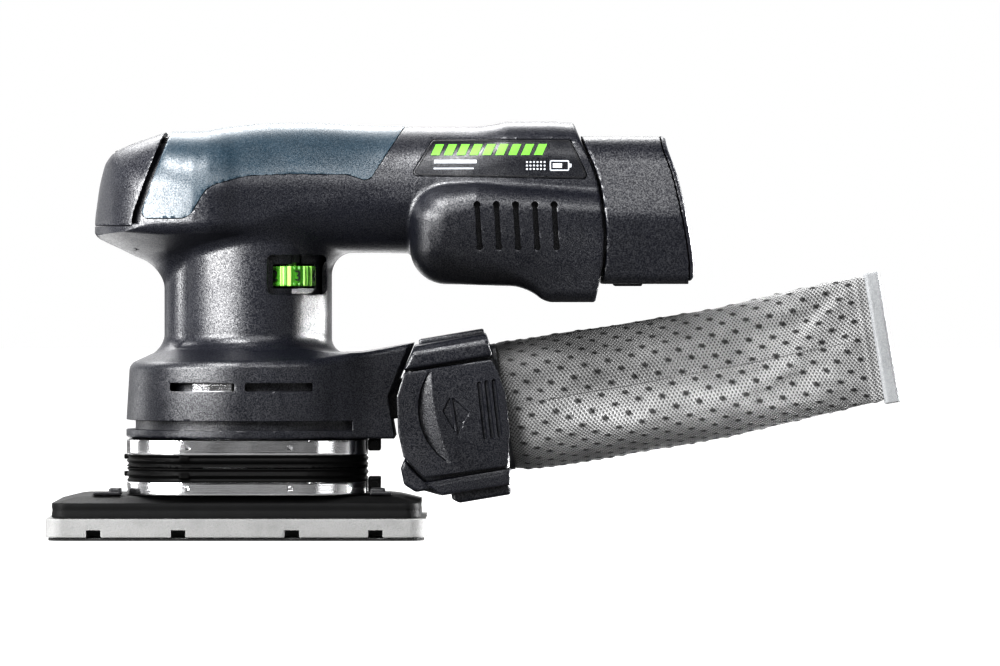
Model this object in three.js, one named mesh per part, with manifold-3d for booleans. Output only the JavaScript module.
// Cordless orbital detail sander with a rectangular pad, slide-on battery and dust bag.
// Millimetres, +Z up. The motor axis is the Z axis, the sanding face is z = 0, +X points to the battery.
import * as THREE from 'three';
import { LoftGeometry } from 'three/addons/geometries/LoftGeometry.js';
import { mergeVertices } from 'three/addons/utils/BufferGeometryUtils.js';
import Module from 'manifold-3d';

// ---------------------------------------------------------------- driving dimensions
const WALL = 2.8; // housing wall thickness
const GAP = 0.3; // gap left between neighbouring pieces
const SEAM = 0.15; // half of the gap between the two housing shells
const ORBIT = 1.0; // eccentricity: the pad orbits on a 2 mm circle

const PAD = { length: 130, width: 80, middle: -2, corner: 6 };
const Z = {
  hook: 0.8, foam: 7.5, plateEdge: 12.8, plate: 15,
  lowerBand: 20, seamLow: 24.5, seamHigh: 24.9, upperBoot: 29, upperBand: 34.2,
  base: 34.5, grooveLow: 37.6, grooveHigh: 40.7, slotLow: 51.1, slotHigh: 53.5,
  crest: 60, neckFoot: 66, noseSeam: 107.3,
};
const BOOT = { front: -40, rear: 42.4, halfWidth: 38.6, corner: 22, wall: 4 };
const LEG = { x: 17.5, y: 29, radius: 4 };
const NECK = { middle: 1.4, halfLength: 29, halfWidth: 26, power: 2.6 };
const DIAL = { x: 16.4, y: -15.4, radius: 9, low: 86.6, high: 93.5 };
const DUCT = { x: 52.8, z: 44.5, tilt: 9.5 }; // origin and upward tilt of the dust outlet, in degrees
const CELL = { radius: 9, start: 79.6, length: 65 };
const FOOT_HALF = 34; // half width of the guard foot under the battery housing
const SCREWS = [[-36, 101], [-31, 55], [45, 103.5], [67, 117]]; // x and z; all enter from the far side
const SCREW = { shank: 1.5, shankHole: 1.9, head: 2.7, headHole: 3.1, seat: 14, tip: -11, top: 17.5, boss: 3.6 };
const ROCKER = { x: -37, z: 134.6, tilt: 21, length: 15, width: 20, low: -4, high: 1.2, margin: 0.9 };
const SHAFT = { radius: 4, low: 32, high: 84, crank: 5.8, crankLow: 21.5, crankHigh: 33.2 };
const STATOR = { outer: 22.4, low: 60, high: 71.2, teeth: 6, toothTip: 12.2, slotDepth: 18.5 };
const WINDING = { outer: 20.5, inner: 13, height: 3.4 };
const LOWER_BEARING = { outer: 11, low: 48.2, high: 55 };
const UPPER_BEARING = { outer: 8.5, low: 77.2, high: 82 };
const BORE = SHAFT.radius + GAP; // hole of everything that sits on the motor shaft
const FAN = { outer: 30, blades: 7, diskLow: 43.5, diskHigh: 45, hub: 10, hubLow: 38.8, bladeTop: 44.3 };
const PAD_BEARING = { outer: 13, low: 22.5, high: 30.4 };
const DUST_HOLES = { x: [-48, -16, 12, 44], y: 22, radius: 4 };
const VENTS = { first: 80.2, pitch: 6.55, count: 5, low: 99, high: 115.5, lean: 0.9 };
const BUTTON = { x: 132, halfLength: 5, halfWidth: 8, low: 86.6, high: 90.2 };
const CHARGE = { radius: 3, z: 122, front: 146.4, rear: 149.4 };

const wasm = await Module();
wasm.setup();

// ---------------------------------------------------------------- solids
// A closed three.js geometry as a solid that can be joined and cut.
function solid(geometry) {
  const loose = geometry.index ? geometry.toNonIndexed() : geometry.clone();
  loose.deleteAttribute('normal');
  loose.deleteAttribute('uv');
  const merged = mergeVertices(loose, 1e-3);
  const corners = merged.index.array;
  const kept = [];
  for (let i = 0; i < corners.length; i += 3) {
    const [a, b, c] = [corners[i], corners[i + 1], corners[i + 2]];
    if (a !== b && b !== c && c !== a) kept.push(a, b, c);
  }
  return new wasm.Manifold(new wasm.Mesh({
    numProp: 3,
    vertProperties: merged.attributes.position.array,
    triVerts: new Uint32Array(kept),
  }));
}

function join(...solids) {
  return solids.reduce((all, next) => all.add(next));
}

function box(x0, x1, y0, y1, z0, z1) {
  const shape = new THREE.BoxGeometry(x1 - x0, y1 - y0, z1 - z0);
  shape.translate((x0 + x1) / 2, (y0 + y1) / 2, (z0 + z1) / 2);
  return solid(shape);
}

// An outline in x and y, extruded from z0 to z1.
function slabZ(shape, z0, z1, curveSegments = 5) {
  const made = new THREE.ExtrudeGeometry(shape, { depth: z1 - z0, bevelEnabled: false, curveSegments });
  made.translate(0, 0, z0);
  return solid(made);
}

// An outline in x and z, extruded from y0 to y1.
function slabY(points, y0, y1) {
  const shape = new THREE.Shape(points.map(([x, z]) => new THREE.Vector2(x, z)));
  const made = new THREE.ExtrudeGeometry(shape, { depth: y1 - y0, bevelEnabled: false });
  made.rotateX(Math.PI / 2);
  made.translate(0, y1, 0);
  return solid(made);
}

// An outline in y and z, extruded from x0 to x1.
function slabX(points, x0, x1) {
  const shape = new THREE.Shape(points.map(([y, z]) => new THREE.Vector2(y, z)));
  const made = new THREE.ExtrudeGeometry(shape, { depth: x1 - x0, bevelEnabled: false });
  made.applyMatrix4(new THREE.Matrix4().makeBasis(
    new THREE.Vector3(0, 1, 0), new THREE.Vector3(0, 0, 1), new THREE.Vector3(1, 0, 0)));
  made.translate(x0, 0, 0);
  return solid(made);
}

function rodZ(radius, z0, z1, x = 0, y = 0, sides = 20) {
  const made = new THREE.CylinderGeometry(radius, radius, z1 - z0, sides);
  made.rotateX(Math.PI / 2);
  made.translate(x, y, (z0 + z1) / 2);
  return solid(made);
}

function rodY(radius, y0, y1, x, z, sides = 16) {
  const made = new THREE.CylinderGeometry(radius, radius, y1 - y0, sides);
  made.translate(x, (y0 + y1) / 2, z);
  return solid(made);
}

function rodX(radius, x0, x1, y, z, sides = 16) {
  const made = new THREE.CylinderGeometry(radius, radius, x1 - x0, sides);
  made.rotateZ(Math.PI / 2);
  made.translate((x0 + x1) / 2, y, z);
  return solid(made);
}

function ringZ(outer, inner, z0, z1, x = 0, y = 0, sides = 20) {
  return rodZ(outer, z0, z1, x, y, sides).subtract(rodZ(inner, z0 - 1, z1 + 1, x, y, sides));
}

function roundedRectangle(x0, x1, y0, y1, radius) {
  const shape = new THREE.Shape();
  shape.absarc(x1 - radius, y1 - radius, radius, 0, Math.PI / 2);
  shape.absarc(x0 + radius, y1 - radius, radius, Math.PI / 2, Math.PI);
  shape.absarc(x0 + radius, y0 + radius, radius, Math.PI, Math.PI * 1.5);
  shape.absarc(x1 - radius, y0 + radius, radius, Math.PI * 1.5, Math.PI * 2);
  return shape;
}

// A smooth function through (position, value) points that never overshoots them.
function profile(points) {
  const n = points.length;
  const slope = points.map(() => 0);
  const chord = (i) => (points[i + 1][1] - points[i][1]) / (points[i + 1][0] - points[i][0]);
  for (let i = 1; i < n - 1; i++) {
    const [a, b] = [chord(i - 1), chord(i)];
    slope[i] = a * b > 0 ? (2 * a * b) / (a + b) : 0;
  }
  slope[0] = chord(0);
  slope[n - 1] = chord(n - 2);
  return (x) => {
    const at = Math.min(Math.max(x, points[0][0]), points[n - 1][0]);
    let i = 0;
    while (i < n - 2 && at > points[i + 1][0]) i++;
    const h = points[i + 1][0] - points[i][0];
    const t = (at - points[i][0]) / h;
    return points[i][1] * (1 + 2 * t) * (1 - t) ** 2 + slope[i] * h * t * (1 - t) ** 2
      + points[i + 1][1] * t * t * (3 - 2 * t) + slope[i + 1] * h * t * t * (t - 1);
  };
}

// One quarter-symmetric superellipse value: cosine or sine raised to 2/power, with its sign.
const squircle = (value, power) => Math.sign(value) * Math.abs(value) ** (2 / power);

// A solid skinned along X. form gives top, bottom, wide (height of the widest line), half and power at x.
function loftX(form, stations, inset = 0, sides = 18) {
  const sections = stations.map((x) => {
    const half = Math.max(form.half(x) - inset, 1);
    const wide = form.wide(x);
    const up = Math.max(form.top(x) - inset - wide, 0.5);
    const down = Math.max(wide - form.bottom(x) - inset, 0.5);
    return Array.from({ length: sides }, (_, i) => {
      const turn = (i / sides) * 2 * Math.PI;
      const side = squircle(Math.cos(turn), form.power(x)) * half;
      const rise = squircle(Math.sin(turn), form.power(x));
      return new THREE.Vector3(x, side, wide + rise * (rise > 0 ? up : down));
    });
  });
  return solid(new LoftGeometry(sections, { capStart: true, capEnd: true }));
}

// A solid skinned along Z through rings of { z(x, y), outline points }.
function loftZ(rings) {
  return solid(new LoftGeometry(rings, { capStart: true, capEnd: true }));
}

function ringPoints(outline, height) {
  return outline.map(([x, y]) => new THREE.Vector3(x, y, height(x)));
}

function superellipse(middle, halfLength, halfWidth, power, sides = 24) {
  return Array.from({ length: sides }, (_, i) => {
    const turn = (i / sides) * 2 * Math.PI;
    return [middle + squircle(Math.cos(turn), power) * halfLength, squircle(Math.sin(turn), power) * halfWidth];
  });
}

// An outline moved outwards by a distance, for the clearance round a piece.
function grown(points, distance) {
  const area = points.reduce((sum, [x, y], i) => {
    const [nx, ny] = points[(i + 1) % points.length];
    return sum + x * ny - nx * y;
  }, 0);
  const outward = Math.sign(area) * distance;
  return points.map(([x, y], i) => {
    const [px, py] = points[(i + points.length - 1) % points.length];
    const [nx, ny] = points[(i + 1) % points.length];
    const before = new THREE.Vector2(y - py, px - x).normalize();
    const after = new THREE.Vector2(ny - y, x - nx).normalize();
    const middle = before.clone().add(after).normalize();
    const reach = outward / Math.max(middle.dot(after), 0.5);
    return [x + middle.x * reach, y + middle.y * reach];
  });
}

// ---------------------------------------------------------------- the scene graph
const root = new THREE.Group();
root.name = 'detail_sander';

const outlet = new THREE.Group(); // the dust outlet's own frame: x along the outlet, z across it
outlet.position.set(DUCT.x, 0, DUCT.z);
outlet.rotation.y = THREE.MathUtils.degToRad(-DUCT.tilt);
root.add(outlet);

const MATERIAL = {
  shell: [0x24262c, 0.55, 0], grip: [0x3c4a55, 0.6, 0], black: [0x101114, 0.5, 0], rubber: [0x161616, 0.75, 0],
  label: [0x0c0d10, 0.35, 0], green: [0x57c22c, 0.45, 0], steel: [0xc9cacc, 0.25, 1], iron: [0x77797c, 0.4, 1],
  copper: [0xb5713a, 0.4, 1], board: [0x1d5a33, 0.6, 0], foam: [0xdcdcda, 0.9, 0], hook: [0x0b0b0b, 0.95, 0],
  fabric: [0xa9a9a8, 0.95, 0], strip: [0xc4c5c6, 0.5, 0], cell: [0x3f6fae, 0.4, 0], polymer: [0x1a1b1f, 0.6, 0],
};

function piece(name, made, look, parent = root) {
  const data = made.getMesh();
  const geometry = new THREE.BufferGeometry();
  const positions = new Float32Array(data.numVert * 3);
  for (let i = 0; i < data.numVert; i++) {
    for (let k = 0; k < 3; k++) positions[i * 3 + k] = data.vertProperties[i * data.numProp + k];
  }
  geometry.setAttribute('position', new THREE.BufferAttribute(positions, 3));
  geometry.setIndex(new THREE.BufferAttribute(data.triVerts, 1));
  geometry.computeVertexNormals();
  const [color, roughness, metalness] = MATERIAL[look];
  const mesh = new THREE.Mesh(geometry, new THREE.MeshStandardMaterial({ color, roughness, metalness }));
  mesh.name = name;
  parent.add(mesh);
}

// A solid made in the outlet's frame, carried into the part's frame.
function fromOutlet(made) {
  outlet.updateMatrixWorld(true);
  return made.transform(outlet.matrixWorld.toArray());
}

// ---------------------------------------------------------------- outer forms
const HEAD = {
  top: profile([[-51.7, 109], [-50.6, 116], [-48.9, 125], [-47.3, 130.6], [-45.2, 132.6], [-38, 136],
    [-27, 139.6], [-16, 139.7], [-4, 141.6], [20, 142.8], [45, 141.8], [75, 141.5], [92, 143.6],
    [107, 143.6], [112, 141.2], [116, 138.8], [126, 138.4]]),
  bottom: profile([[-51.7, 104], [-50.6, 102.6], [-43.1, 99], [-36.2, 95.6], [-30, 94], [-20, 95], [0, 97],
    [30, 98], [58, 97.8], [126, 97.5]]),
  wide: profile([[-51.7, 106.5], [-45, 108], [-30, 111], [0, 115], [40, 119], [80, 126], [126, 128]]),
  half: profile([[-51.7, 9], [-50.6, 17], [-48, 24], [-44, 28.5], [-38, 32], [-28, 34], [-15, 34.2],
    [0, 31.5], [15, 28.5], [30, 26.5], [45, 26], [65, 26.5], [80, 28.5], [95, 30.5], [126, 31.5]]),
  power: profile([[-51.7, 2.3], [-30, 2.5], [50, 2.6], [75, 3], [92, 4], [126, 4]]),
};
const BULGE = {
  top: profile([[58.5, 108], [60.5, 113.5], [64, 117.5], [70, 120.5], [76, 121.8], [126, 121]]),
  bottom: profile([[58.5, 98], [60, 94.5], [62.5, 91], [66, 88.4], [71, 87.2], [95, 86.6], [126, 87.2]]),
  wide: profile([[58.5, 104], [70, 108], [126, 110]]),
  half: profile([[58.5, 20], [60.5, 27], [64, 31.5], [70, 35], [78, 36.6], [90, 37], [126, 37]]),
  power: () => 3.2,
};
const BATTERY = { top: () => 138.2, bottom: () => 87.4, wide: () => 108, half: () => 36.4, power: () => 2.7 };

const HEAD_STATIONS = [-51.7, -50.6, -48.9, -46.5, -43, -38, -31, -22, -10, 4, 20, 38, 56, 74, 86, 94, 108, 112,
  117, 126];
const BULGE_STATIONS = [58.5, 59.5, 61.5, 65, 70, 77, 90, 126];

// The rear edge of the housing, against which the battery stands.
const COLLAR = [[111.5, 148], [114.6, 138.8], [117, 133], [119.7, 126.6], [121.8, 119.7], [122.9, 111],
  [123.5, 102.5], [123.2, 96], [122.3, 90], [120.3, 80]];
const NOSE_EDGE = [[-24.6, 145], [-28.3, 135.9], [-37.3, 111.8], [-38, Z.noseSeam]];
const GRIP_EDGE = [[-22.6, 145], [-25.9, 135.9], [-34.5, 111.8], [-32.8, 109.7], [-17.9, 109.7], [-15.5, 113.5],
  [-13.1, 117.3], [-9.3, 120.8], [-3.5, 122.8], [3.5, 124.2], [15.5, 124.9], [32.8, 124.5], [43.1, 122.5],
  [50, 130.8], [55.2, 138.7], [57.5, 145]];
const LABEL_EDGE = [[65, 136.8], [111, 136.8], [117.4, 123.6], [57.8, 124.6]];
const OUTLET_EDGE = [[57.8, 70], [56.9, 66.9], [49.7, 49], [52.1, 34.5], [52.3, 30]];

// The base's plan outline: a round front that narrows to the outlet at the rear.
function baseOutline(inset) {
  const half = profile([[-41.2, 0.01], [-40.6, 9], [-38.5, 18], [-34, 26.5], [-27, 33.5], [-18, 38], [-8, 40],
    [10, 40], [22, 37.5], [34, 31.5], [46, 26], [58, 24]]);
  const stations = [-41.2, -40.6, -38.5, -34, -27, -18, -8, 10, 22, 34, 46, 60];
  const reach = (x) => x + inset * Math.max(0, Math.min(1, (-x - 8) / 30));
  const near = stations.map((x) => [reach(x), -Math.max(half(x) - inset, 0.01)]);
  const far = stations.slice().reverse().map((x) => [reach(x), Math.max(half(x) - inset, 0.01)]);
  return [...near, ...far];
}

const crestHeight = profile([[-42, Z.crest], [5, 60.3], [30, 62.3], [46, 64.8], [62, 67.6]]);

function baseForm() {
  return loftZ([
    ringPoints(baseOutline(0.8), () => Z.base),
    ringPoints(baseOutline(0), () => Z.base + 1.2),
    ringPoints(baseOutline(0.2), () => 50),
    ringPoints(baseOutline(1.4), (x) => crestHeight(x) - 1),
    ringPoints(baseOutline(2.6), crestHeight),
    ringPoints(baseOutline(12.5), (x) => Math.max(crestHeight(x) + 0.8, Z.neckFoot)),
  ]);
}

function neckForm(inset, low, high) {
  const { middle, halfLength, halfWidth, power } = NECK;
  const ring = (z, extra) => ringPoints(
    superellipse(middle, halfLength - inset + extra, halfWidth - inset + extra, power), () => z);
  return inset > 0
    ? loftZ([ring(low, 0), ring(high, 0)])
    : loftZ([ring(low, 5), ring(Z.neckFoot, 2.4), ring(Z.neckFoot + 3, 0), ring(high, 0)]);
}

// Everything behind a line of points in x and z, as one cutting block.
function behind(edge) {
  const [first, last] = [edge[0], edge[edge.length - 1]];
  return slabY([...edge, [last[0] + 60, last[1]], [first[0] + 60, first[1]]], -60, 60);
}

const head = loftX(HEAD, HEAD_STATIONS);
const bulge = loftX(BULGE, BULGE_STATIONS);
const foot = slabY([[96, 96], [97.6, 86], [101.8, 82.8], [104.5, 81.6], [118.3, 81], [119.8, 82.4], [124, 96]],
  -FOOT_HALF, FOOT_HALF);
const spine = slabZ(roundedRectangle(NECK.middle - NECK.halfLength, -5, -15, 15, 5), Z.neckFoot - 4, 102);
const bodyForm = join(head, bulge, foot, spine, neckForm(0, 61, 104), baseForm())
  .subtract(behind(COLLAR))
  .subtract(slabY([...OUTLET_EDGE, [100, 30], [100, 70]], -60, 60));

// ---------------------------------------------------------------- hollows
// The bay's stepped section holds three battery cells below and two above.
function baySection(x0, x1, inset) {
  const half = [[0, 89.4 + inset], [22.8 - inset / 2, 89.4 + inset], [30.8 - inset, 97.4 + inset / 2],
    [30.8 - inset, 114.6 - inset], [22.6 - inset, 114.6 - inset], [22.6 - inset, 125 - inset],
    [16 - inset / 2, 131.6 - inset], [0, 131.6 - inset]];
  const mirrored = half.slice(1, -1).reverse().map(([y, z]) => [-y, z]);
  return slabX([...half, ...mirrored], x0, x1);
}

function innerSpace() {
  const innerStations = [-47.5, -45, -41, -35, -27, -16, 0, 20, 42, 64];
  const handle = loftX(HEAD, innerStations, WALL, 16);
  const bulgeHollow = loftX(BULGE, [62.5, 65, 70], WALL, 16);
  const neck = neckForm(WALL, 50, 108);
  const fanRoom = rodZ(34, Z.base - 1, 47.9, 0, 0, 32);
  const coolingRoom = loftZ([
    ringPoints(baseOutline(3.2), () => 47.8),
    ringPoints(baseOutline(3.6), () => 57.6),
  ]).intersect(box(-60, 13, -60, 60, 40, 60));
  const tunnel = fromOutlet(box(-30, 20, -15, 15, -4, 11));
  const bay = baySection(73.5, 140, 0);
  const terminalWindow = box(60, 75, -13, 13, 93, 106);
  const bosses = join(...SCREWS.map(([x, z]) => rodY(SCREW.boss, -40, 40, x, z, 8)));
  const dialPocket = box(5.2, 30, -30, -5.8, 82.4, 98.6);
  return join(handle, bulgeHollow, neck, fanRoom, coolingRoom, tunnel, bay, terminalWindow)
    .subtract(bosses)
    .subtract(dialPocket);
}

// Air slots: two long ones each side, the front wrap-round groove, and five in each side of the bulge.
function slots() {
  const long = (x0, x1) => box(x0, x1, -45, -33, Z.slotLow, Z.slotHigh);
  const near = join(long(-26.9, -3.5), long(-0.3, 22.8));
  const groove = solid(new LoftGeometry([
    ringPoints(baseOutline(1.6), () => Z.grooveLow), ringPoints(baseOutline(1.6), () => Z.grooveHigh),
  ], { capStart: true, capEnd: true }));
  const grooveRing = box(-60, 37.6, -60, 60, Z.grooveLow, Z.grooveHigh).subtract(groove);
  const vents = Array.from({ length: VENTS.count }, (_, i) => {
    const x = VENTS.first + i * VENTS.pitch;
    const { low, high, lean } = VENTS;
    return slabY([[x - 1, high], [x + 1, high], [x + 1 + lean, low], [x - 1 + lean, low]], -40, -34.4);
  });
  const nearAll = join(near, ...vents);
  return join(nearAll, nearAll.mirror([0, 1, 0]), grooveRing);
}

// The dial's window and the room for its wheel, in the near side of the neck.
function dialOpening() {
  return join(
    box(6.9, 27.2, -40, -20.6, 83.5, 97.3),
    rodZ(DIAL.radius + 0.7, DIAL.low - 0.7, DIAL.high + 0.7, DIAL.x, DIAL.y),
    rodZ(3.4, DIAL.low - 1, 104, DIAL.x, DIAL.y, 12),
  );
}

// ---------------------------------------------------------------- housing
function noseRegion(extra) {
  const edge = NOSE_EDGE.map(([x, z], i) => [x + extra, i === 3 ? z - extra : z]);
  return slabY([...edge, [-70, Z.noseSeam - extra], [-70, 145]], -50, 50);
}

function housingShells() {
  const gripRecess = slabY(grown(GRIP_EDGE, GAP), -50, 50).subtract(loftX(HEAD, HEAD_STATIONS, 2.2));
  const noseGroove = slabY([[-24.6, 145], [-28.3, 135.9], [-37.3, 111.8], [-38, 107.3], [-33.5, 109], [-34.8, 111.8],
    [-26.2, 135.9], [-22.9, 145]], -50, 50).subtract(loftX(HEAD, HEAD_STATIONS, 1.5));
  const labelRecess = slabY(grown(LABEL_EDGE, GAP), -50, 50).subtract(loftX(HEAD, HEAD_STATIONS, 1.6));
  let shells = bodyForm
    .subtract(innerSpace())
    .subtract(slots())
    .subtract(dialOpening())
    .subtract(noseRegion(0.8))
    .subtract(gripRecess)
    .subtract(noseGroove)
    .subtract(labelRecess);
  for (const [x, z] of SCREWS) {
    shells = shells.subtract(rodY(SCREW.shankHole, SCREW.tip - 1, 60, x, z, 8))
      .subtract(rodY(SCREW.headHole, SCREW.seat, 60, x, z, 8));
  }
  piece('left_housing_shell', shells.intersect(box(-80, 160, -60, -SEAM, 0, 160)), 'shell');
  piece('right_housing_shell', shells.intersect(box(-80, 160, SEAM, 60, 0, 160)), 'shell');
}

function rockerBlock(grow, low, high) {
  const made = new THREE.BoxGeometry(ROCKER.length + 2 * grow, ROCKER.width + 2 * grow, high - low);
  made.translate(0, 0, (low + high) / 2);
  made.rotateY(THREE.MathUtils.degToRad(-ROCKER.tilt));
  made.translate(ROCKER.x, 0, ROCKER.z);
  return solid(made);
}

function noseAndGrip() {
  const cap = head.subtract(loftX(HEAD, [-48.2, -46, -43, -38, -33, -27, -20], 2.6, 16))
    .intersect(noseRegion(0))
    .subtract(rockerBlock(ROCKER.margin, ROCKER.low - 2, 12));
  piece('nose_cap', cap, 'shell');
  const grip = head.subtract(loftX(HEAD, HEAD_STATIONS, 1.9)).intersect(slabY(GRIP_EDGE, -50, 50));
  piece('soft_grip', grip, 'grip');
  const rocker = rockerBlock(0, ROCKER.low, ROCKER.high).intersect(loftX(HEAD, HEAD_STATIONS, -0.4));
  piece('power_rocker', rocker, 'black');
  piece('switch_module', box(-42, -29, -8, 8, 113, 124), 'polymer');
}

function labels() {
  const plate = slabY(LABEL_EDGE, -50, 50).intersect(head).subtract(loftX(HEAD, HEAD_STATIONS, 1.3));
  piece('left_label', plate.intersect(box(40, 130, -50, 0, 90, 150)), 'label');
  piece('right_label', plate.intersect(box(40, 130, 0, 50, 90, 150)), 'label');
}

function screws() {
  SCREWS.forEach(([x, z], i) => {
    const shank = rodY(SCREW.shank, SCREW.tip, SCREW.seat + 1, x, z, 8);
    const screwHead = rodY(SCREW.head, SCREW.seat + 0.4, SCREW.top, x, z, 8);
    piece(`housing_screw_${i + 1}`, join(shank, screwHead), 'steel');
  });
}

function dial() {
  const wheel = new THREE.Shape();
  const ribs = 16;
  for (let i = 0; i < ribs * 2; i++) {
    const radius = i % 2 ? DIAL.radius : DIAL.radius - 0.5;
    const turn = (i / (ribs * 2)) * 2 * Math.PI;
    wheel.lineTo(DIAL.x + radius * Math.cos(turn), DIAL.y + radius * Math.sin(turn));
  }
  const points = wheel.getPoints().slice(1);
  const rim = slabZ(new THREE.Shape(points), DIAL.low, DIAL.high);
  piece('speed_dial', join(rim, rodZ(1.8, DIAL.high - 0.5, DIAL.high + 4, DIAL.x, DIAL.y, 12)), 'green');
  piece('dial_potentiometer', ringZ(3, 2.1, DIAL.high + 1.2, DIAL.high + 6, DIAL.x, DIAL.y, 12), 'polymer');
}

function electronics() {
  const board = join(
    box(2, 60, -16, 16, 110, 111.6),
    ...[0, 1, 2, 3, 4].map((i) => box(8 + i * 4, 9.4 + i * 4, -12, 12, 111, 120)),
    box(7, 26.4, -12, 12, 111, 113),
    rodZ(5, 111, 124, 38, -6, 16),
    box(46, 56, -9, 9, 111, 118),
  );
  piece('circuit_board', board, 'board');
  const blades = [-8, 0, 8].map((y) => box(72, 78.4, y - 0.5, y + 0.5, 96, 103));
  piece('battery_terminal_block', join(box(64.5, 73, -12.6, 12.6, 93.6, 105.4), ...blades), 'polymer');
}

// ---------------------------------------------------------------- motor
function statorCore() {
  const core = new THREE.Shape();
  core.absarc(0, 0, STATOR.outer, 0, 2 * Math.PI);
  const bore = [];
  for (let i = 0; i < STATOR.teeth; i++) {
    const at = (share, radius) => {
      const turn = ((i + share) / STATOR.teeth) * 2 * Math.PI;
      bore.push(new THREE.Vector2(radius * Math.cos(turn), radius * Math.sin(turn)));
    };
    [0, 0.15, 0.3].forEach((share) => at(share, STATOR.toothTip));
    [0.36, 0.65, 0.94].forEach((share) => at(share, STATOR.slotDepth));
  }
  core.holes.push(new THREE.Path(bore));
  return slabZ(core, STATOR.low, STATOR.high, 12);
}

function motor() {
  const plateRadius = 33.5;
  piece('base_plate', ringZ(plateRadius, 15.5, 35, 37.2, 0, 0, 32), 'polymer');
  const lower = LOWER_BEARING;
  const lowerHolder = join(
    ringZ(plateRadius, 7, 46, 47.6, 0, 0, 32),
    ringZ(lower.outer + 2, lower.outer + GAP, 47, lower.high + 0.2),
  );
  piece('bearing_plate', lowerHolder, 'iron');
  piece('lower_bearing', ringZ(lower.outer, BORE, lower.low, lower.high), 'steel');

  const upper = UPPER_BEARING;
  const upperHolder = join(
    ringZ(22.2, 6, 75.3, 76.9, 0, 0, 24),
    ringZ(upper.outer + 1.7, upper.outer + GAP, 76.5, upper.high, 0, 0, 20),
  );
  piece('upper_bearing_holder', upperHolder, 'iron');
  piece('upper_bearing', ringZ(upper.outer, BORE, upper.low, upper.high, 0, 0, 16), 'steel');

  piece('stator_core', statorCore(), 'iron');
  const winding = (low) => ringZ(WINDING.outer, WINDING.inner, low, low + WINDING.height, 0, 0, 24);
  piece('upper_winding', winding(STATOR.high + GAP), 'copper');
  piece('lower_winding', winding(STATOR.low - GAP - WINDING.height), 'copper');

  const shaft = join(
    rodZ(SHAFT.radius, SHAFT.low, SHAFT.high, 0, 0, 16),
    rodZ(SHAFT.crank, SHAFT.crankLow, SHAFT.crankHigh, ORBIT, 0, 16),
  );
  piece('motor_shaft', shaft, 'steel');
  piece('rotor_magnet', ringZ(11.5, BORE, 58.5, 73, 0, 0, 20), 'iron');
  piece('dust_fan', dustFan(), 'polymer');
  piece('counterweight', counterweight(), 'steel');
}

function dustFan() {
  const bladeLength = 20;
  const bladeHeight = 5.4;
  const blades = Array.from({ length: FAN.blades }, (_, i) => {
    const blade = new THREE.BoxGeometry(bladeLength, 1.4, bladeHeight);
    blade.translate(FAN.outer - 1 - bladeLength / 2, 0, FAN.bladeTop - bladeHeight / 2);
    blade.rotateZ((i / FAN.blades) * 2 * Math.PI);
    return solid(blade);
  });
  const disk = ringZ(FAN.outer, BORE, FAN.diskLow, FAN.diskHigh, 0, 0, 24);
  const hub = ringZ(FAN.hub, BORE, FAN.hubLow, FAN.diskLow + 0.5, 0, 0, 16);
  return join(disk, hub, ...blades);
}

// A half disc under the fan, opposite the crank, on a hub of its own.
function counterweight() {
  const [low, high] = [31.9, 34.4];
  const half = ringZ(18, 6.6, low, high, 0, 0, 24).intersect(box(-20, -3, -20, 20, low - 1, high + 1));
  return join(half, ringZ(9.5, BORE, high - 0.8, FAN.hubLow - 0.4, 0, 0, 20));
}

// ---------------------------------------------------------------- pad
function padSlab(length, width, corner, z0, z1) {
  return slabZ(roundedRectangle(PAD.middle - length / 2, PAD.middle + length / 2, -width / 2, width / 2, corner),
    z0, z1, 2);
}

const NOTCHES = [-50.4, -21.5, 17.2, 45.6]; // middles of the edge notches, along X

function pad() {
  const { x: across, y: side, radius } = DUST_HOLES;
  const holes = join(...across.flatMap((x) => [-side, side].map((y) => rodZ(radius, -1, 20, x, y, 10))));
  const notches = join(...NOTCHES.map((x) => box(x - 2.4, x + 2.4, -60, 60, 0.5, 3.6)));
  piece('hook_sheet', padSlab(PAD.length - 2, PAD.width - 1, PAD.corner, 0, Z.hook).subtract(holes), 'hook');
  const foam = padSlab(PAD.length, PAD.width, PAD.corner, Z.hook + GAP, Z.foam).subtract(holes);
  piece('foam_pad', foam.subtract(notches.subtract(box(-80, 80, -30, 30, 0, 4))), 'foam');

  const rim = (grow, z) => roundedRectangle(PAD.middle - 62.8 + grow, PAD.middle + 62.8 - grow,
    -38.5 + grow, 38.5 - grow, 5).getPoints(3).map((p) => new THREE.Vector3(p.x, p.y, z));
  const plate = loftZ([rim(0, Z.foam + GAP), rim(0, Z.plateEdge), rim(8, Z.plate)]).subtract(holes);
  piece('backing_plate', plate, 'rubber');

  const { outer, low, high } = PAD_BEARING;
  piece('pad_bearing', ringZ(outer, SHAFT.crank + GAP, low, high, ORBIT, 0), 'steel');
  const carrier = join(
    ringZ(outer * 2, 8, Z.plate + GAP, 18.4, ORBIT, 0, 24),
    ringZ(outer + 3, outer + GAP, 18, high + 0.2, ORBIT, 0),
    ringZ(outer + 1, outer - 2, 18, low - GAP, ORBIT, 0),
  );
  piece('pad_carrier', carrier, 'iron');

  const clip = (x0, x1, x2, x3) => join(
    box(x0, x1, -30, -18, Z.plate + 0.3, Z.plate + 1.4),
    box(x2, x3, -29, -19, Z.plate + 1.2, Z.plate + 2.6),
  );
  piece('front_pad_clip', clip(-51, -42.6, -45, -41.6), 'black');
  piece('rear_pad_clip', clip(43.8, 51, 43.6, 48.5), 'black');
}

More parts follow.
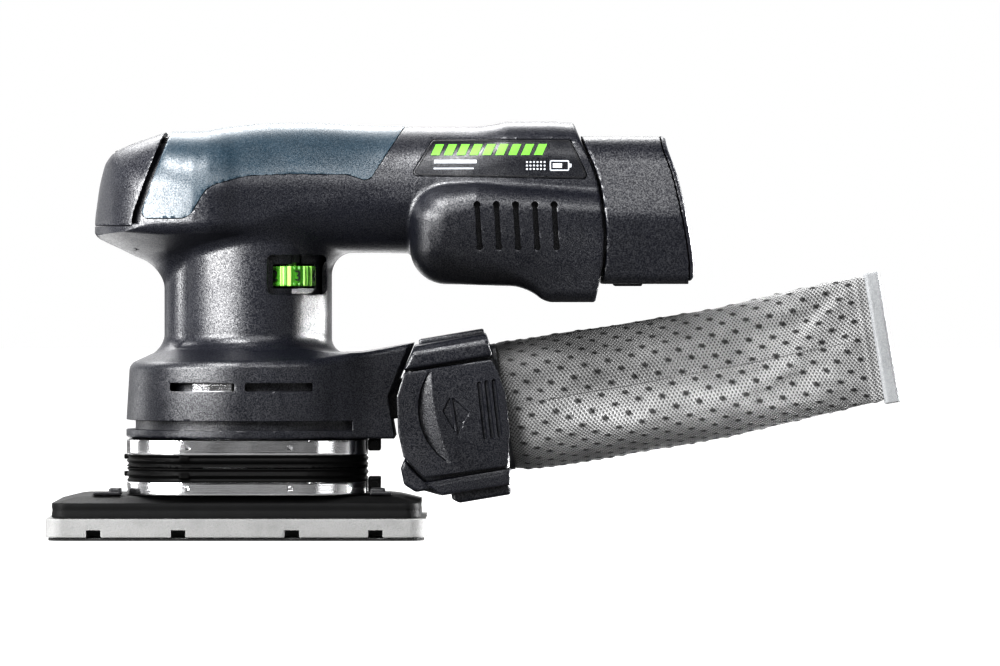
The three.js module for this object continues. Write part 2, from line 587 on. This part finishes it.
function bootRing(grow, wall, z0, z1, segments = 3) {
  const { front, rear, halfWidth, corner } = BOOT;
  const outline = (inset) => roundedRectangle(front + inset, rear - inset, -halfWidth + inset, halfWidth - inset,
    corner - inset);
  return slabZ(outline(grow), z0, z1, segments).subtract(slabZ(outline(grow + wall), z0 - 1, z1 + 1, segments));
}

function boots() {
  const lug = (x, z) => join(box(x - 1.6, x + 1.6, -BOOT.halfWidth - 0.7, -BOOT.halfWidth + 1, z - 0.8, z + 0.8),
    box(x - 1.6, x + 1.6, BOOT.halfWidth - 1, BOOT.halfWidth + 0.7, z - 0.8, z + 0.8),
    box(BOOT.front - 1.5, BOOT.front + 1, -3, 3, z - 0.8, z + 0.8));
  const upper = join(bootRing(0, BOOT.wall, Z.seamHigh, Z.upperBoot),
    bootRing(1.4, BOOT.wall - 1.4, Z.upperBoot - 0.5, Z.upperBand), lug(-19.6, 27.9));
  const lower = join(bootRing(0, BOOT.wall, Z.lowerBand, Z.seamLow),
    bootRing(1.4, BOOT.wall - 1.4, Z.plate + GAP, Z.lowerBand + 0.5), lug(-19.6, 22));
  piece('upper_boot', upper, 'rubber');
  piece('lower_boot', lower, 'rubber');
  piece('upper_band', bandRing(Z.upperBoot + 0.1, Z.upperBand - 0.1), 'steel');
  piece('lower_band', bandRing(Z.plate + 0.4, Z.lowerBand - 0.2), 'steel');
  piece('upper_band_clamp', clampBlock(30, Z.upperBand), 'black');
  piece('lower_band_clamp', clampBlock(Z.plate + 0.5, 21), 'black');
  [[-1, -1], [-1, 1], [1, -1], [1, 1]].forEach(([sx, sy], i) => {
    const [x, y] = [sx * LEG.x, sy * LEG.y];
    const leg = rodZ(LEG.radius, Z.plate + 0.8, Z.upperBand, x, y, 12);
    piece(`flexible_leg_${i + 1}`, leg, 'rubber');
  });
}

// The steel band, open at the rear where its clamp pulls it together.
function bandRing(z0, z1) {
  const rivets = [-18.3, 16.6].flatMap((x) => [-1, 1].map((s) => {
    const y = s * BOOT.halfWidth;
    return rodY(0.9, Math.min(y, y + s * 0.5) - 0.2, Math.max(y, y + s * 0.5) + 0.2, x, (z0 + z1) / 2, 8);
  }));
  const ring = bootRing(0.1, 1, z0, z1).subtract(box(40, 50, -1.2, 1.2, 0, 60));
  return join(ring, ...rivets);
}

function clampBlock(z0, z1) {
  const x = BOOT.rear + GAP;
  return join(box(x, x + 4.2, -7, 7, z0, z1), rodY(1.3, -8.4, 8.4, x + 2.1, (z0 + z1) / 2, 10));
}

// ---------------------------------------------------------------- battery
const BATTERY_END = [[142.4, 150], [142.6, 138], [146.9, 123.2], [150, 109.4], [152, 97.3], [152.3, 93.8],
  [152.3, 80]];

function battery() {
  const collar = COLLAR.map(([x, z]) => [x + 0.9, z]);
  const capEdge = BATTERY_END.map(([x, z]) => [x + 1.9, z]);
  const seam = BATTERY_END.map(([x, z]) => [x + 0.45, z]);
  const skin = loftX(BATTERY, [100, 128, 160], 0, 24).intersect(behind(collar));
  const rails = baySection(77, 135, 0.6);
  const hollow = baySection(78.7, 170, 1.9);
  const contactSlots = join(...[-8, 0, 8].map((y) => box(70, 90, y - 1.2, y + 1.2, 95, 104)));
  const { x, halfLength, halfWidth } = BUTTON;
  const buttonHole = box(x - halfLength - 0.4, x + halfLength + 0.4, -halfWidth - 0.4, halfWidth + 0.4, 80, 92);
  const shell = join(skin.subtract(behind(BATTERY_END)), rails)
    .subtract(hollow).subtract(contactSlots).subtract(buttonHole);
  piece('battery_case', shell, 'shell');
  const cap = skin.intersect(behind(seam)).subtract(behind(capEdge))
    .subtract(rodX(CHARGE.radius + 0.4, 140, 160, 0, CHARGE.z, 14));
  piece('battery_end_cap', cap, 'shell');
  const cells = [[-18.9, 101.8], [0, 101.8], [18.9, 101.8], [-9.6, 118.9], [9.6, 118.9]];
  cells.forEach(([y, z], i) => {
    piece(`battery_cell_${i + 1}`, rodX(CELL.radius, CELL.start, CELL.start + CELL.length, y, z, 16), 'cell');
  });
  piece('charge_button', rodX(CHARGE.radius, CHARGE.front, CHARGE.rear, 0, CHARGE.z, 14), 'green');
  const button = box(x - halfLength, x + halfLength, -halfWidth, halfWidth, BUTTON.low, BUTTON.high);
  piece('battery_release_button', button, 'black');
}

// ---------------------------------------------------------------- dust outlet
function outletSection(u0, u1, half, low, high, corner) {
  const shape = roundedRectangle(low, high, -half, half, corner);
  const made = new THREE.ExtrudeGeometry(shape, { depth: u1 - u0, bevelEnabled: false, curveSegments: 2 });
  made.applyMatrix4(new THREE.Matrix4().makeBasis(
    new THREE.Vector3(0, 0, 1), new THREE.Vector3(0, -1, 0), new THREE.Vector3(1, 0, 0)));
  made.translate(u0, 0, 0);
  return solid(made);
}

const ADAPTER_SIDE = [[9.4, 20.5], [0.6, 4.5], [0, -16.4], [-1.8, -21.4], [-0.8, -25.8], [2.3, -28], [9.4, -31.4],
  [33.8, -31.7], [35.7, -20.7], [37.4, -3], [35.7, 10.8], [34, 20.5]];
const LATCH_SIDE = [[4.4, 11.8], [0.6, 4.5], [-0.9, -7.5], [-0.6, -16.3], [4, -22.3], [7.1, -24.6], [34.2, -25.5],
  [36.8, -13.9], [37.6, -1.7], [36.2, 7.2], [34.5, 11.3]];

function adapter() {
  const outer = outletSection(-4, 42, 22.4, -31.8, 20.6, 6).intersect(slabY(ADAPTER_SIDE, -40, 40));
  const rails = join(box(11, 33.5, -15, 15, 19, 22.2), box(13.5, 33.5, -13, 13, -35.2, -30),
    box(8, 12, -23.6, -21, -6, 3), box(8, 12, 21, 23.6, -6, 3));
  const mouth = outletSection(14, 50, 20, -27.6, 17, 5);
  const spigot = box(-11, 3, -14.2, 14.2, -3.2, 10.2);
  const passage = box(-20, 16, -12.4, 12.4, -1.4, 8.4);
  piece('outlet_adapter', join(outer, rails, spigot).subtract(mouth).subtract(passage), 'shell', outlet);

  const plate = slabY(LATCH_SIDE, -27.6, -24.9);
  const crescent = slabY([[11.4, 11], [8, 4], [7, -5], [9, -14], [16, -22.5], [10.8, -14], [9.6, -5], [10.4, 4]],
    -30, -26.6);
  const ribs = join(...[28.5, 31, 33.5].map((u) => box(u - 0.5, u + 0.5, -28.2, -27.2, -15, 3)));
  const latch = join(plate.subtract(crescent), ribs);
  piece('left_latch', latch, 'shell', outlet);
  piece('right_latch', latch.mirror([0, 1, 0]), 'shell', outlet);

  const frame = outletSection(20, 36.6, 19.4, -27, 16.4, 5).subtract(outletSection(10, 50, 17.4, -25, 14.4, 4));
  piece('bag_frame', frame, 'polymer', outlet);
}

const BAG = {
  half: profile([[37, 20.2], [50, 21.2], [80, 20.5], [110, 16.5], [140, 9], [160, 2.4], [163, 1.1], [170, 1.1]]),
  low: profile([[37, -27], [60, -28], [110, -27.6], [163, -25.7], [170, -25.7]]),
  high: profile([[37, 16.8], [60, 17.6], [110, 18.2], [163, 18.6], [170, 18.6]]),
};

function dustBag() {
  const stations = [38, 48, 64, 84, 106, 128, 146, 158, 163, 168.8];
  const sections = stations.map((u) => {
    const [half, low, high] = [BAG.half(u), BAG.low(u), BAG.high(u)];
    const power = 3.4;
    return Array.from({ length: 20 }, (_, i) => {
      const turn = (i / 20) * 2 * Math.PI;
      return new THREE.Vector3(u, squircle(Math.cos(turn), power) * half,
        (low + high) / 2 + squircle(Math.sin(turn), power) * (high - low) / 2);
    });
  });
  piece('dust_bag', solid(new LoftGeometry(sections, { capStart: true, capEnd: true })), 'fabric', outlet);
  const strip = slabZ(roundedRectangle(166, 171.4, -2.8, 2.8, 1), -26.4, 19.3, 3)
    .subtract(box(160, 169.4, -1.5, 1.5, -40, 40));
  piece('bag_closure_strip', strip, 'strip', outlet);
}

// ---------------------------------------------------------------- assembly
housingShells();
noseAndGrip();
labels();
screws();
dial();
electronics();
motor();
pad();
boots();
battery();
adapter();
dustBag();

export default root;
